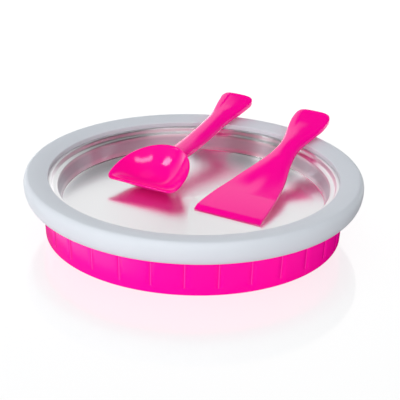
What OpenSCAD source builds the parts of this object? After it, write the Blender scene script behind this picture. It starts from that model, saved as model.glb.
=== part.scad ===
// Cold-plate ice cream maker: a sealed tub of freezing gel under a metal plate,
// with a soft rim ring, and a scoop and a scraper that rest in it.
// Origin: centre of the foot of the non-slip pad, +Z up, millimetres.

/* [Overall] */
// Diameter over the rim ring
ring_d = 310; // [250:1:380]
// Height from the table to the crown of the rim ring
total_h = 57.5; // [54:0.5:75]

/* [Rim ring] */
// Width of the ring, from its outside to its inner lip
ring_w = 22.2; // [20:0.2:30]
// Height of the outside of the ring
ring_h = 22; // [20:0.5:26]
// Height of the inner lip below the crown
lip_drop = 2.2; // [1:0.1:3.5]
// Thickness of the lip over the plate's flange
lip_t = 4.6; // [3.5:0.1:5.5]
// Radius of the edge of the lip
lip_round = 1.4; // [0.8:0.1:2]
// Radial width of the rounded shoulder outside the crown
shoulder_w = 4.6; // [3:0.1:5.5]
// Depth of the shoulder below the crown, to the widest point
shoulder_h = 7.5; // [6:0.1:9]
// How far the lower edge of the ring tucks in
tuck_w = 8; // [6:0.1:9]
// Thickness of the ring's wall outside the clamp ring
ring_wall = 3.7; // [3.3:0.1:4.5]

/* [Freezing plate] */
// Thickness of the plate's sheet metal
plate_t = 1.5; // [1:0.1:2]
// Depth of the plate's floor below its flange
plate_depth = 20.4; // [16:0.2:25]
// Depth of the narrow ledge below the flange
ledge_depth = 4.2; // [3:0.1:6]
// Width of the flat that shows inside the ring's lip
flat_w = 2.8; // [2:0.1:4]
// Radial slope of the step from the flat to the ledge
step_slope = 0.8; // [0.3:0.1:1.5]
// Radial width of the ledge
ledge_w = 4.6; // [3:0.1:7]
// Radial slope of the wall between ledge and floor
wall_slope = 3.6; // [2:0.1:6]
// Radius of the bends in the sheet metal
bend_r = 1.3; // [0.8:0.1:1.8]

/* [Tub] */
// Radial slope of the tub's wall, from its foot to its lip
tub_slope = 2.2; // [1:0.1:8]
// Thickness of the tub's wall and floor
tub_wall = 3; // [2:0.1:3.6]
// Radius of the tub's lower edge
tub_edge_r = 1; // [0.5:0.5:5]
// Thickness of the tub's lip flange
tub_lip_t = 3; // [2:0.1:3.5]
// Number of grooves around the tub
groove_n = 30; // [12:1:40]
// Turn of the first groove from the front
groove_turn = -2.5; // [-6:0.1:6]
// Radius of a groove's bottom
groove_r = 1.2; // [0.8:0.1:1.6]
// Depth of a groove
groove_depth = 0.7; // [0.4:0.1:0.8]
// Height of a groove's lower end above the table
groove_z = 8; // [6:0.5:14]

/* [Sealed inside] */
// Thickness of the insulating foam under the tank
foam_t = 5; // [4.5:0.1:7]
// Thickness of the tank's wall and floor
tank_t = 2; // [1.5:0.1:2.5]
// Air space between the plate's well and the tank's wall
well_air = 1; // [0.5:0.1:2]
// Air space between the tank's wall and the tub's
tank_air = 1.1; // [0.5:0.1:2.5]
// Air space left over the gel, around the plate
gel_air = 4; // [2:0.1:6]
// Thickness of the flange gasket
gasket_t = 1.2; // [0.8:0.1:1.6]
// Thickness of the clamp ring's sheet metal
clamp_t = 1.2; // [1:0.1:1.5]
// Width of the clamp ring's cover over the plate's flange
clamp_cover = 8.5; // [5:0.1:10]
// Radius of the filling hole in the tank
fill_r = 6; // [4:0.5:8]
// Radius of the filling plug's head
plug_head_r = 9.5; // [9:0.5:12]
// Thickness of the filling plug's head
plug_head_t = 2.4; // [2:0.1:3]
// Thickness of the plug's seal
seal_t = 0.8; // [0.5:0.1:1]

/* [Non-slip pad] */
// Diameter of the non-slip pad
pad_d = 200; // [150:1:206]
// Thickness of the non-slip pad
pad_t = 1.5; // [1:0.1:2]
// How far the pad stands out of the tub
pad_stand = 0.4; // [0.3:0.1:0.8]

/* [Handles] */
// Width of a handle at its neck
neck_w = 21.2; // [16:0.1:23]
// Thickness of a handle at its neck
neck_t = 12; // [10:0.1:14]
// Width of a handle's tail
tail_w = 37.4; // [28:0.1:42]
// Thickness of a handle's tail
tail_t = 10.4; // [8:0.1:12]
// Radius of the tail's corners
tail_corner = 8.5; // [4:0.5:10]

/* [Scraper] */
// Direction of the scraper, from blade to tail, counted from +X
scraper_dir = 60.8; // [50:0.1:70]
// Place around the ring where the scraper crosses the lip
scraper_cross = 40.3; // [20:0.1:50]
// Length of the scraper from its edge to where it crosses the lip
scraper_reach = 148.6; // [130:0.1:165]
// Length of the scraper beyond the lip
scraper_tail = 35.3; // [32:0.1:50]
// Width of the blade at its edge
blade_w = 67; // [50:0.5:75]
// Thickness of the blade
blade_t = 2.8; // [2:0.1:4]
// Length of the bevel at the blade's edge
bevel_len = 5; // [3:0.1:8]
// Thickness of the blade's edge
edge_t = 0.8; // [0.5:0.1:1.5]
// Length of the blade, up to the handle's neck
blade_len = 124; // [100:1:128]

/* [Scoop] */
// Direction of the scoop, from lip to tail, counted from +X
scoop_dir = 60; // [50:0.1:70]
// Place around the ring where the scoop crosses the lip
scoop_cross = 78.9; // [60:0.1:90]
// Length of the scoop from its lip to where it crosses the ring's lip
scoop_reach = 152.8; // [140:0.1:165]
// Length of the scoop beyond the ring's lip
scoop_tail = 38.5; // [32:0.5:50]
// Width of the bowl
bowl_w = 76; // [60:0.5:85]
// Length of the bowl
bowl_len = 57; // [50:0.5:68]
// Place of the bowl's widest part behind its lip
bowl_mid = 14; // [10:0.5:20]
// Radius of the corners of the bowl's lip
bowl_corner = 6; // [3:0.5:9]
// Depth of the bowl, from its rim to its underside
bowl_depth = 21; // [16:0.5:25]
// Place of the bowl's deepest part behind its lip
bowl_deep = 30; // [24:0.5:34]
// Tilt of the bowl's rim
bowl_tilt = 19.5; // [15:0.5:24]
// Wall of the bowl
bowl_wall = 2.2; // [1.8:0.1:3]
// Thickness of the bowl's rim
rim_t = 1.4; // [1:0.1:2]

/* [Hidden] */
$fn = 96;

// Clearance between pieces whose curved faces lie against each other
gap = 0.3;
// Overshoot of a cut past the face that it opens
over = 1;

pink = [1, 0, 0.65];
ring_grey = [0.84, 0.87, 0.91];

// Heights of the flanges, from the lip of the ring down
lip_z = total_h - lip_drop;
flange_z = lip_z - lip_t - gap;
gasket_z = flange_z - plate_t - gasket_t;
tank_flange_z = gasket_z - tank_t;
tub_lip_z = tank_flange_z - tub_lip_t;
clamp_top_z = flange_z + clamp_t;
clamp_foot_z = tub_lip_z - clamp_t;

// Radii of the ring, the clamp ring and the flanges that it holds
ring_r = ring_d / 2;
lip_r = ring_r - ring_w;
crown_r = ring_r - shoulder_w;
widest_z = total_h - shoulder_h;
ring_foot_r = ring_r - tuck_w;
ring_foot_z = total_h - ring_h;
clamp_r = ring_r - ring_wall - gap;
stack_r = clamp_r - clamp_t - gap;
cover_r = stack_r - clamp_cover;

// Freezing plate
floor_z = flange_z - plate_depth;
ledge_z = flange_z - ledge_depth;
flat_r = lip_r - flat_w;
ledge_r = flat_r - step_slope - ledge_w;
floor_r = ledge_r - wall_slope;

// Walls of the tub and the tank, which lean outwards alike and stand clear of the plate's well
tub_lean = tub_slope / (tub_lip_z - pad_stand);
tub_floor_z = pad_stand + tub_wall;
tank_z = tub_floor_z + foam_t;
tank_floor_z = tank_z + tank_t;
function tank_in(z) = flat_r + plate_t + well_air + tub_lean * (z - gasket_z);
function tank_r(z) = tank_in(z) + tank_t;
function tub_in(z) = tank_r(z) + tank_air;
function tub_r(z) = tub_in(z) + tub_wall;

// Underside of the plate's wall, which leans outwards too
wall_lean = wall_slope / (ledge_z - floor_z);
function wall_under(z) = floor_r + wall_lean * (z - floor_z) + plate_t * norm([1, wall_lean]) + gap;
gel_top_z = ledge_z - plate_t - gel_air;

// Points of an arc about a centre, from one angle to another
function arc(centre, rx, rz, from, to, steps = 8) =
  [for (i = [0:steps]) let (a = from + (to - from) * i / steps) centre + [rx * cos(a), rz * sin(a)]];

// Rise of the ring's upper face, from its lip to its crown
function ring_top(r) = lip_z + lip_drop * sin(90 * (r - lip_r - lip_round) / (crown_r - lip_r - lip_round));

module non_slip_pad() {
  color([0.2, 0.2, 0.22]) cylinder(r = pad_d / 2, h = pad_t);
}

module tub_shell() {
  corner_r = tub_r(pad_stand) - tub_edge_r;
  rotate_extrude()
    polygon(concat(
      [[0, pad_stand]],
      arc([corner_r, pad_stand + tub_edge_r], tub_edge_r, tub_edge_r, -90, -atan(tub_lean)),
      [[tub_r(tub_lip_z), tub_lip_z], [stack_r, tub_lip_z], [stack_r, tank_flange_z]],
      [[tub_in(tank_flange_z), tank_flange_z], [tub_in(tub_floor_z), tub_floor_z], [0, tub_floor_z]]));
}

// One groove, which runs up the wall to a place under the ring and has a round lower end
module groove() {
  out = groove_r - groove_depth;
  top_z = ring_foot_z + clamp_t;
  translate([tub_r(groove_z) + out, 0, groove_z]) {
    sphere(r = groove_r);
    rotate([0, atan(tub_lean), 0]) cylinder(r = groove_r, h = (top_z - groove_z) * norm([1, tub_lean]));
  }
}

module base_tub() {
  color(pink) difference() {
    tub_shell();
    translate([0, 0, pad_stand - over]) cylinder(r = pad_d / 2 + gap, h = pad_t - pad_stand + over);
    for (i = [0:groove_n - 1])
      rotate([0, 0, i * 360 / groove_n - 90 + groove_turn]) groove();
  }
}

module insulating_foam() {
  hole_r = plug_head_r + over;
  color([0.95, 0.93, 0.85]) rotate_extrude()
    polygon([[hole_r, tub_floor_z], [tub_in(tub_floor_z) - gap, tub_floor_z],
      [tub_in(tank_z) - gap, tank_z], [hole_r, tank_z]]);
}

module gel_tank() {
  color([0.93, 0.94, 0.95]) rotate_extrude()
    polygon([[fill_r, tank_z], [tank_r(tank_z), tank_z], [tank_r(tank_flange_z), tank_flange_z],
      [stack_r, tank_flange_z], [stack_r, gasket_z], [tank_in(gasket_z), gasket_z],
      [tank_in(tank_floor_z), tank_floor_z], [fill_r, tank_floor_z]]);
}

module freezing_gel() {
  gel_z = floor_z - plate_t;
  color([0.45, 0.75, 0.95]) rotate_extrude()
    polygon([[0, tank_floor_z], [tank_in(tank_floor_z) - gap, tank_floor_z],
      [tank_in(gel_top_z) - gap, gel_top_z], [wall_under(gel_top_z), gel_top_z],
      [wall_under(gel_z), gel_z], [0, gel_z]]);
}

module fill_plug() {
  head_z = tank_z - seal_t;
  color([0.85, 0.86, 0.88]) {
    translate([0, 0, head_z - plug_head_t]) cylinder(r = plug_head_r, h = plug_head_t);
    translate([0, 0, head_z]) cylinder(r = fill_r - gap, h = tank_floor_z - head_z);
  }
}

module plug_seal() {
  color([0.25, 0.25, 0.28]) translate([0, 0, tank_z - seal_t]) difference() {
    cylinder(r = plug_head_r, h = seal_t);
    translate([0, 0, -over]) cylinder(r = fill_r, h = seal_t + 2 * over);
  }
}

module flange_gasket() {
  color([0.3, 0.3, 0.33]) translate([0, 0, gasket_z]) difference() {
    cylinder(r = stack_r, h = gasket_t);
    translate([0, 0, -over]) cylinder(r = tank_in(gasket_z) + over, h = gasket_t + 2 * over);
  }
}

// Region under the plate's upper face, with its bends rounded
module plate_under() {
  past = 2 * ring_w;
  offset(r = -bend_r) offset(r = 2 * bend_r) offset(r = -bend_r)
    polygon([[-past, floor_z - past], [stack_r + past, floor_z - past], [stack_r + past, flange_z],
      [flat_r, flange_z], [flat_r - step_slope, ledge_z], [ledge_r, ledge_z], [floor_r, floor_z],
      [-past, floor_z]]);
}

module freezing_plate() {
  color([0.88, 0.88, 0.9]) rotate_extrude()
    intersection() {
      difference() {
        plate_under($fn = 32);
        offset(r = -plate_t, $fn = 32) plate_under($fn = 32);
      }
      square([stack_r, flange_z]);
    }
}

// Sheet rolled round the flanges of the plate, the gasket, the tank and the tub
module clamp_ring() {
  foot_in = tub_r(tub_lip_z) + gap;
  color([0.7, 0.72, 0.75]) rotate_extrude()
    polygon([[foot_in, clamp_foot_z], [clamp_r, clamp_foot_z], [clamp_r, clamp_top_z],
      [cover_r, clamp_top_z], [cover_r, flange_z], [clamp_r - clamp_t, flange_z],
      [clamp_r - clamp_t, tub_lip_z], [foot_in, tub_lip_z]]);
}

module rim_ring() {
  foot_in = tub_r(ring_foot_z) + gap;
  color(ring_grey) rotate_extrude()
    polygon(concat(
      [[lip_r, lip_z - lip_t]],
      arc([lip_r + lip_round, lip_z - lip_round], lip_round, lip_round, 180, 90),
      [for (i = [1:8]) let (r = lip_r + lip_round + (crown_r - lip_r - lip_round) * i / 8) [r, ring_top(r)]],
      arc([crown_r, widest_z], shoulder_w, shoulder_h, 90, 0, 10),
      arc([ring_foot_r, widest_z], tuck_w, widest_z - ring_foot_z, 0, -90, 12),
      [[foot_in, ring_foot_z], [tub_r(clamp_foot_z - gap) + gap, clamp_foot_z - gap]],
      [[clamp_r + gap, clamp_foot_z - gap], [clamp_r + gap, clamp_top_z + gap]],
      [[cover_r - gap, clamp_top_z + gap], [cover_r - gap, lip_z - lip_t]]));
}

// Curve through knots of [place, value, slope]
function hermite(a, b, x) =
  let (w = b[0] - a[0], t = (x - a[0]) / w, t2 = t * t, t3 = t2 * t)
  (2 * t3 - 3 * t2 + 1) * a[1] + (t3 - 2 * t2 + t) * w * a[2]
    + (3 * t2 - 2 * t3) * b[1] + (t3 - t2) * w * b[2];
function curve(knots, x, i = 0) =
  i >= len(knots) - 2 || x <= knots[i + 1][0]
    ? hermite(knots[i], knots[i + 1], x) : curve(knots, x, i + 1);

// A tool lies along +X with its edge at 0. It is skinned over cross-sections that each go
// once across its underside and back over its upper side
columns = 14;
function across(j) = -cos(180 * j / columns);
module skin(sections) {
  n = len(sections[0]);
  last = len(sections) - 1;
  polyhedron(
    points = [for (s = sections) each s],
    faces = concat(
      [for (j = [0:columns - 1]) [j, j + 1, n - 2 - j, n - 1 - j]],
      [for (i = [0:last - 1], j = [0:n - 1])
        [i * n + j, (i + 1) * n + j, (i + 1) * n + (j + 1) % n, i * n + (j + 1) % n]],
      [for (j = [0:columns - 1]) [for (k = [n - 1 - j, n - 2 - j, j + 1, j]) last * n + k]]));
}

// Handle, by the distance e past the place where it crosses the lip of the ring. Each handle
// is [length of its tail, start and end of its flare, slope and curl of its rise]
scraper_handle = [scraper_tail, -24, 24, 0.125, 0.0011];
scoop_handle = [scoop_tail, -14, 44, 0.05, 0.001];
side_t = 1.6;
function smooth(t) = let (c = min(1, max(0, t))) c * c * (3 - 2 * c);
function flare(h, e) = smooth((e - h[1]) / (h[2] - h[1]));
function corner(h, e, r) =
  let (d = min(r, h[0] - e)) r - sqrt(r * r - pow(r - d, 2));
function handle_half(h, e) = (neck_w + (tail_w - neck_w) * flare(h, e)) / 2 - corner(h, e, tail_corner);
function handle_t(h, e) = neck_t + (tail_t - neck_t) * flare(h, e) - 2 * corner(h, e, tail_t / 3);
function handle_rise(h, e) = e * h[3] + e * e * h[4];

// Cross-section between a lower and an upper height, with flat sides and bulging faces
function section(x, half, low, high, side) =
  let (bulge = (high - low - side) / 2, mid = (low + high) / 2)
  concat(
    [for (j = [0:columns]) let (s = across(j)) [x, s * half, mid - side / 2 - bulge * sqrt(1 - s * s)]],
    [for (j = [columns:-1:0]) let (s = across(j)) [x, s * half, mid + side / 2 + bulge * sqrt(1 - s * s)]]);

// Places along a handle, closer together at the end of its tail
function tail_places(h, from) = concat(
  [for (e = [from:6:h[0] - 10]) e],
  [for (d = [8, 6, 4, 2.5, 1.2, 0.4, 0]) h[0] - d]);

// Where a tool crosses the lip of the ring, and its rise from the plate's floor to there.
// The perch is the lift that its slanted crossing needs
lip_seat_r = lip_r + lip_round;
perch = 0.3;
seat_rise = lip_z + perch - floor_z;
module lay_across(dir, cross, reach) {
  translate([lip_seat_r * cos(cross), lip_seat_r * sin(cross), floor_z + gap])
    rotate([0, 0, dir]) translate([-reach, 0, 0]) children();
}

// Scraper: a blade that narrows and thickens into the handle
spread_knots = [[0, 1, -0.2], [0.5, 0.62, -1.1], [1, 0, -0.2]];
nose_start = 0.26;
nose_len = 0.57;
function scraper_e(x) = x - scraper_reach;
function scraper_half(x) =
  let (spread = x < blade_len ? curve(spread_knots, x / blade_len) : 0)
  handle_half(scraper_handle, scraper_e(x)) + spread * (blade_w - neck_w) / 2;
function nose(x) = smooth((x / blade_len - nose_start) / nose_len);
function bevel(x) = edge_t + (blade_t - edge_t) * min(1, x / bevel_len);
function scraper_t(x) = bevel(x) + (handle_t(scraper_handle, scraper_e(x)) - blade_t) * nose(x);
function scraper_side(x) = bevel(x) + (side_t - blade_t) * nose(x);
blade_arch = [[0, 0, 0], [40, -0.9, -0.055], [92, -4.9, -0.03], [scraper_reach - 25, -2.6, 0.12],
  [scraper_reach, 0, 0.12]];
function scraper_under(x) =
  x * seat_rise / scraper_reach
    + (x < scraper_reach ? curve(blade_arch, x) : handle_rise(scraper_handle, scraper_e(x)));

module scraper() {
  places = concat(
    [0, bevel_len], [for (u = [0.1:0.08:0.98]) u * blade_len],
    [for (e = tail_places(scraper_handle, blade_len - scraper_reach)) scraper_reach + e]);
  color(pink) lay_across(scraper_dir, scraper_cross, scraper_reach)
    skin([for (x = places) let (low = scraper_under(x))
      section(x, scraper_half(x), low, low + scraper_t(x), scraper_side(x))]);
}

// Scoop: a bowl with a straight lip and a tilted rim, on a handle that leaves its back
function scoop_e(x) = x - scoop_reach;
function hollow(x, from, to) =
  x <= from || x >= to ? 0
    : x < bowl_deep ? sin(90 * (x - from) / (bowl_deep - from))
    : 1 - pow((x - bowl_deep) / (to - bowl_deep), 2.6);
function trough(s) = 1 - pow(abs(s), 3);
function bowl_half(x) =
  let (d = min(x, bowl_corner))
  bowl_w / 2 * sqrt(max(0, 1 - pow((x - bowl_mid) / (bowl_len - bowl_mid), 2)))
    - bowl_corner + sqrt(pow(bowl_corner, 2) - pow(bowl_corner - d, 2));
function bowl_keel(x) = x * tan(bowl_tilt) - rim_t - (bowl_depth - rim_t) * hollow(x, 0, bowl_len);
bowl_places = concat(
  [0, rim_t], [for (a = [18:12:90]) bowl_deep * (1 - cos(a))],
  [for (a = [15:12:75]) bowl_deep + (bowl_len - bowl_wall - bowl_deep) * sin(a)],
  [bowl_len - bowl_wall, bowl_len]);
rim_h = -min([for (x = bowl_places) bowl_keel(x)]);
stem_arch = [[bowl_len - 15, 11, -0.22], [75, 4.6, -0.16], [105, 1.2, -0.06], [scoop_reach, 0, 0.03]];
function stem_under(x) =
  (x - bowl_deep) * seat_rise / (scoop_reach - bowl_deep)
    + (x < scoop_reach ? curve(stem_arch, x) : handle_rise(scoop_handle, scoop_e(x)));

// Height of the stem's underside at w to one side, and high above it beside the stem
function stem_low(x, w) =
  let (half = handle_half(scoop_handle, scoop_e(x)), bulge = (neck_t - side_t) / 2)
  abs(w) > half ? rim_h + bowl_len : stem_under(x) + bulge * (1 - sqrt(1 - pow(w / half, 2)));

// Cross-section of the bowl: its underside, with the stem on it, and back over its inside
function bowl_section(x) =
  let (rim = rim_h + x * tan(bowl_tilt), half = max(bowl_half(x), neck_w / 2),
    deep = (bowl_depth - rim_t) * hollow(x, 0, bowl_len), inside = half - bowl_wall,
    shallow = (bowl_depth - bowl_wall) * hollow(x, rim_t, bowl_len - bowl_wall))
  concat(
    [for (j = [0:columns]) let (s = across(j), low = rim - rim_t - deep * trough(s))
      [x, s * half, x < bowl_deep ? low : min(low, stem_low(x, s * half))]],
    [for (j = [columns:-1:0]) let (s = across(j)) [x, s * inside, rim - shallow * trough(s)]]);

module scoop() {
  stem_places = [for (e = tail_places(scoop_handle, bowl_len + over - scoop_reach)) scoop_reach + e];
  color(pink) lay_across(scoop_dir, scoop_cross, scoop_reach)
    skin(concat(
      [for (x = bowl_places) bowl_section(x)],
      [for (x = stem_places) let (low = stem_under(x), e = scoop_e(x))
        section(x, handle_half(scoop_handle, e), low, low + handle_t(scoop_handle, e), side_t)]));
}

non_slip_pad();
base_tub();
insulating_foam();
gel_tank();
freezing_gel();
fill_plug();
plug_seal();
flange_gasket();
freezing_plate();
clamp_ring();
rim_ring();
scoop();
scraper();
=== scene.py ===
"""A cold-plate ice cream maker with its scoop and scraper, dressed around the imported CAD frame."""

import math

import bmesh
import bpy
import numpy as np
from mathutils import Matrix, Vector


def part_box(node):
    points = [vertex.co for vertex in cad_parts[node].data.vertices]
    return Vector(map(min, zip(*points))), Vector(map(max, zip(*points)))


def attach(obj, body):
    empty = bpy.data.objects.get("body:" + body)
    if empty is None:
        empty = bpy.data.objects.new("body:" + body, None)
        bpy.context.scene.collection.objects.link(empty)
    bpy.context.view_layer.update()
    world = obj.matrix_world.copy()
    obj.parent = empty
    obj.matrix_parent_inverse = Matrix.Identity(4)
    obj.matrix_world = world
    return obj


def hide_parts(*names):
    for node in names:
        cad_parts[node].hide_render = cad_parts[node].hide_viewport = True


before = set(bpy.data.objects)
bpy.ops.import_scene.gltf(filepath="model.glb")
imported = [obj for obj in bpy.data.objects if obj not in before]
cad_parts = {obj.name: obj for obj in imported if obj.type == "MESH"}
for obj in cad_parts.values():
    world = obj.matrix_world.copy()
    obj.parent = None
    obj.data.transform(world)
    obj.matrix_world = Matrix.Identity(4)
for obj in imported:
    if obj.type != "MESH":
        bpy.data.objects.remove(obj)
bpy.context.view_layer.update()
MM = 0.001

# ---------------------------------------------------------------- sizes, in millimetres
GAP = 0.3
AXIS_R = 1e-6
MERGE = 1e-3
ROUND_STEPS = 288

# Rim ring
RING_W = 22.2
RING_R = -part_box("rim_ring")[0].x / MM
TOTAL_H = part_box("rim_ring")[1].z / MM
FOOT_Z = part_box("rim_ring")[0].z / MM
CROWN_H = 2.2
LIP_R = RING_R - RING_W
LIP_Z = TOTAL_H - CROWN_H
LIP_T = 4.6
LIP_ROUND = 1.4
SHOULDER_W, SHOULDER_H = 4.6, 7.5
TUCK_W = 8.0
CROWN_R = RING_R - SHOULDER_W
WIDEST_Z = TOTAL_H - SHOULDER_H

# Clamp ring, which the rim ring wraps
RING_WALL = 3.7
CLAMP_T = 1.2
CLAMP_COVER = 8.5

# Freezing plate
FLANGE_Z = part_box("freezing_plate")[1].z / MM
PLATE_T = 1.5
FLOOR_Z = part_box("freezing_plate")[0].z / MM + PLATE_T
FLAT_W = 2.8
STEP_SLOPE = 0.8
STEP_H = 4.2
LEDGE_W = 4.6
WALL_RUN = 3.6
LEDGE_Z = FLANGE_Z - STEP_H
FLAT_R = LIP_R - FLAT_W
LEDGE_R = FLAT_R - STEP_SLOPE - LEDGE_W
FLOOR_R = LEDGE_R - WALL_RUN
BEND_R = 1.3
STACK_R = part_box("freezing_plate")[1].x / MM

# Base tub
TUB_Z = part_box("base_tub")[0].z / MM
TUB_TOP_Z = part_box("base_tub")[1].z / MM
TUB_FLANGE_T = 3
TUB_LIP_Z = TUB_TOP_Z - TUB_FLANGE_T
TUB_FOOT_R = 137.967
TUB_NEAR_R = 140
TUB_SPREAD = 2.2
TUB_LEAN = TUB_SPREAD / (TUB_LIP_Z - TUB_Z)
TUB_WALL = 3.0
TUB_EDGE_R = 1.0
GROOVES = 30
GROOVE_TURN = -92.5
GROOVE_R = 1.2
GROOVE_DEPTH = 0.7
GROOVE_Z = 8.0
GROOVE_TOP_Z = FOOT_Z + 3

# Non-slip pad
PAD_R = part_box("non_slip_pad")[1].x / MM
PAD_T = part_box("non_slip_pad")[1].z / MM
PAD_EDGE_R = 0.4
CHANNELS = 12
CHANNEL_R = 1.4
CHANNEL_ROOF_R = 0.8
CHANNEL_H = 0.3
FIRST_CHANNEL_R, LAST_CHANNEL_R = PAD_R - 6, 8


# ---------------------------------------------------------------- curves
def arc(cx, cz, rx, rz, start, end, steps=12):
    """Points of an elliptical arc, angles in degrees."""
    angles = np.radians(np.linspace(start, end, steps + 1))
    return [(cx + rx * math.cos(a), cz + rz * math.sin(a)) for a in angles]


def smooth(t):
    """0 up to 0, 1 from 1 on, and an S between them."""
    t = min(1.0, max(0.0, t))
    return t * t * (3 - 2 * t)


def curve(knots, x):
    """Cubic through knots of (place, value, slope)."""
    i = 0
    while i < len(knots) - 2 and x > knots[i + 1][0]:
        i += 1
    (x0, v0, s0), (x1, v1, s1) = knots[i], knots[i + 1]
    span = x1 - x0
    t = (x - x0) / span
    t2, t3 = t * t, t * t * t
    return ((2 * t3 - 3 * t2 + 1) * v0 + (t3 - 2 * t2 + t) * span * s0
            + (3 * t2 - 2 * t3) * v1 + (t3 - t2) * span * s1)


# ---------------------------------------------------------------- mesh makers
def make_object(name, verts, faces, material, sharp_deg=32):
    """A smooth-shaded mesh from points in millimetres."""
    mesh = bpy.data.meshes.new(name)
    mesh.from_pydata([tuple(c * MM for c in v) for v in verts], [], faces)
    mesh.validate()
    bm = bmesh.new()
    bm.from_mesh(mesh)
    bmesh.ops.remove_doubles(bm, verts=bm.verts, dist=MERGE * MM)
    bmesh.ops.recalc_face_normals(bm, faces=bm.faces)
    bm.to_mesh(mesh)
    bm.free()
    mesh.polygons.foreach_set("use_smooth", [True] * len(mesh.polygons))
    mesh.set_sharp_from_angle(angle=math.radians(sharp_deg))
    obj = bpy.data.objects.new(name, mesh)
    bpy.context.scene.collection.objects.link(obj)
    obj.data.materials.append(material)
    return obj


def revolve(name, profile, material, angles=None, radius=None, sharp_deg=32):
    """Turns a closed profile of (r, z) points about Z. Points on the axis become poles. A given
    radius(r, z, angle) moves each point in or out."""
    if angles is None:
        angles = np.linspace(0, 2 * math.pi, ROUND_STEPS, endpoint=False)
    verts, index = [], []
    for a in angles:
        row = []
        for k, (r, z) in enumerate(profile):
            if r < AXIS_R and index:
                row.append(index[0][k])
                continue
            moved = radius(r, z, a) if radius else r
            row.append(len(verts))
            verts.append((moved * math.cos(a), moved * math.sin(a), z))
        index.append(row)
    faces = []
    n, m = len(angles), len(profile)
    for i in range(n):
        one, two = index[i], index[(i + 1) % n]
        for k in range(m):
            quad = [one[k], two[k], two[(k + 1) % m], one[(k + 1) % m]]
            face = list(dict.fromkeys(quad))
            if len(face) > 2:
                faces.append(face)
    return make_object(name, verts, faces, material, sharp_deg)


def skin(name, sections, material, sharp_deg=32):
    """Skins a tool over closed sections that all have as many points; the ends are quad strips."""
    n = len(sections[0])
    verts = [p for s in sections for p in s]
    faces = []
    for i in range(len(sections) - 1):
        for j in range(n):
            k = (j + 1) % n
            faces.append([i * n + j, (i + 1) * n + j, (i + 1) * n + k, i * n + k])
    last = (len(sections) - 1) * n
    for base in (0, last):
        for j in range(n // 2 - 1):
            faces.append([base + j, base + j + 1, base + n - 2 - j, base + n - 1 - j])
    return make_object(name, verts, faces, material, sharp_deg)


def finish_piece(obj, body, node):
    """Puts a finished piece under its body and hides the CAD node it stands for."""
    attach(obj, body)
    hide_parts(node)


# ---------------------------------------------------------------- materials
def new_material(name):
    """A material with its node tree and its Principled BSDF."""
    mat = bpy.data.materials.new(name)
    mat.use_nodes = True
    tree = mat.node_tree
    return mat, tree, tree.nodes["Principled BSDF"]


def add(tree, kind, **values):
    """A new node with its properties, or else its inputs, set by name."""
    node = tree.nodes.new(kind)
    for key, value in values.items():
        if hasattr(node, key):
            setattr(node, key, value)
        else:
            node.inputs[key.replace("_", " ")].default_value = value
    return node


def noise(tree, scale, detail=3.0, rough=0.5, vector=None):
    node = add(tree, "ShaderNodeTexNoise", Scale=scale, Detail=detail, Roughness=rough)
    if vector is None:
        coord = add(tree, "ShaderNodeTexCoord")
        vector = coord.outputs["Object"]
    tree.links.new(vector, node.inputs["Vector"])
    return node.outputs["Fac"]


def ramp(tree, fac, low, high):
    """Maps 0..1 to low..high, for a number."""
    node = add(tree, "ShaderNodeMapRange", To_Min=low, To_Max=high)
    tree.links.new(fac, node.inputs["Value"])
    return node.outputs["Result"]


def fade(tree, value, start, end, before, after):
    """One value before start, another after end, and smooth between them."""
    node = add(tree, "ShaderNodeMapRange", interpolation_type="SMOOTHSTEP", From_Min=start,
               From_Max=end, To_Min=before, To_Max=after)
    tree.links.new(value, node.inputs["Value"])
    return node.outputs["Result"]


def maths(tree, kind, one, two=0):
    """A maths node of one or two inputs, each a socket or a number."""
    node = add(tree, "ShaderNodeMath", operation=kind)
    for socket, value in zip(node.inputs, (one, two)):
        if isinstance(value, (int, float)):
            socket.default_value = value
        else:
            tree.links.new(value, socket)
    return node.outputs[0]


def product(tree, *factors):
    """All the factors multiplied together."""
    out = factors[0]
    for factor in factors[1:]:
        out = maths(tree, "MULTIPLY", out, factor)
    return out


def split_axes(tree, vector):
    """The x, y and z of a vector, as three sockets."""
    node = add(tree, "ShaderNodeSeparateXYZ")
    tree.links.new(vector, node.inputs[0])
    return [node.outputs[axis] for axis in "XYZ"]


def vector_length(tree, vector):
    node = add(tree, "ShaderNodeVectorMath", operation="LENGTH")
    tree.links.new(vector, node.inputs[0])
    return node.outputs["Value"]


def set_mix(tree, fac, one, two):
    """Mix of two colours, each a socket or a constant, with the RGBA sockets picked by type."""
    node = add(tree, "ShaderNodeMix", data_type="RGBA")
    rgba = [s for s in node.inputs if s.type == "RGBA"]
    for socket, colour in zip(rgba, (one, two)):
        if isinstance(colour, tuple):
            socket.default_value = (*colour, 1)
        else:
            tree.links.new(colour, socket)
    tree.links.new(fac, node.inputs[0])
    return [s for s in node.outputs if s.type == "RGBA"][0]


def bump(tree, bsdf, height, distance):
    """Relief of a height of 0 to 1 times a distance in metres."""
    node = add(tree, "ShaderNodeBump", Distance=distance, Strength=1.0)
    tree.links.new(height, node.inputs["Height"])
    tree.links.new(node.outputs["Normal"], bsdf.inputs["Normal"])


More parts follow.
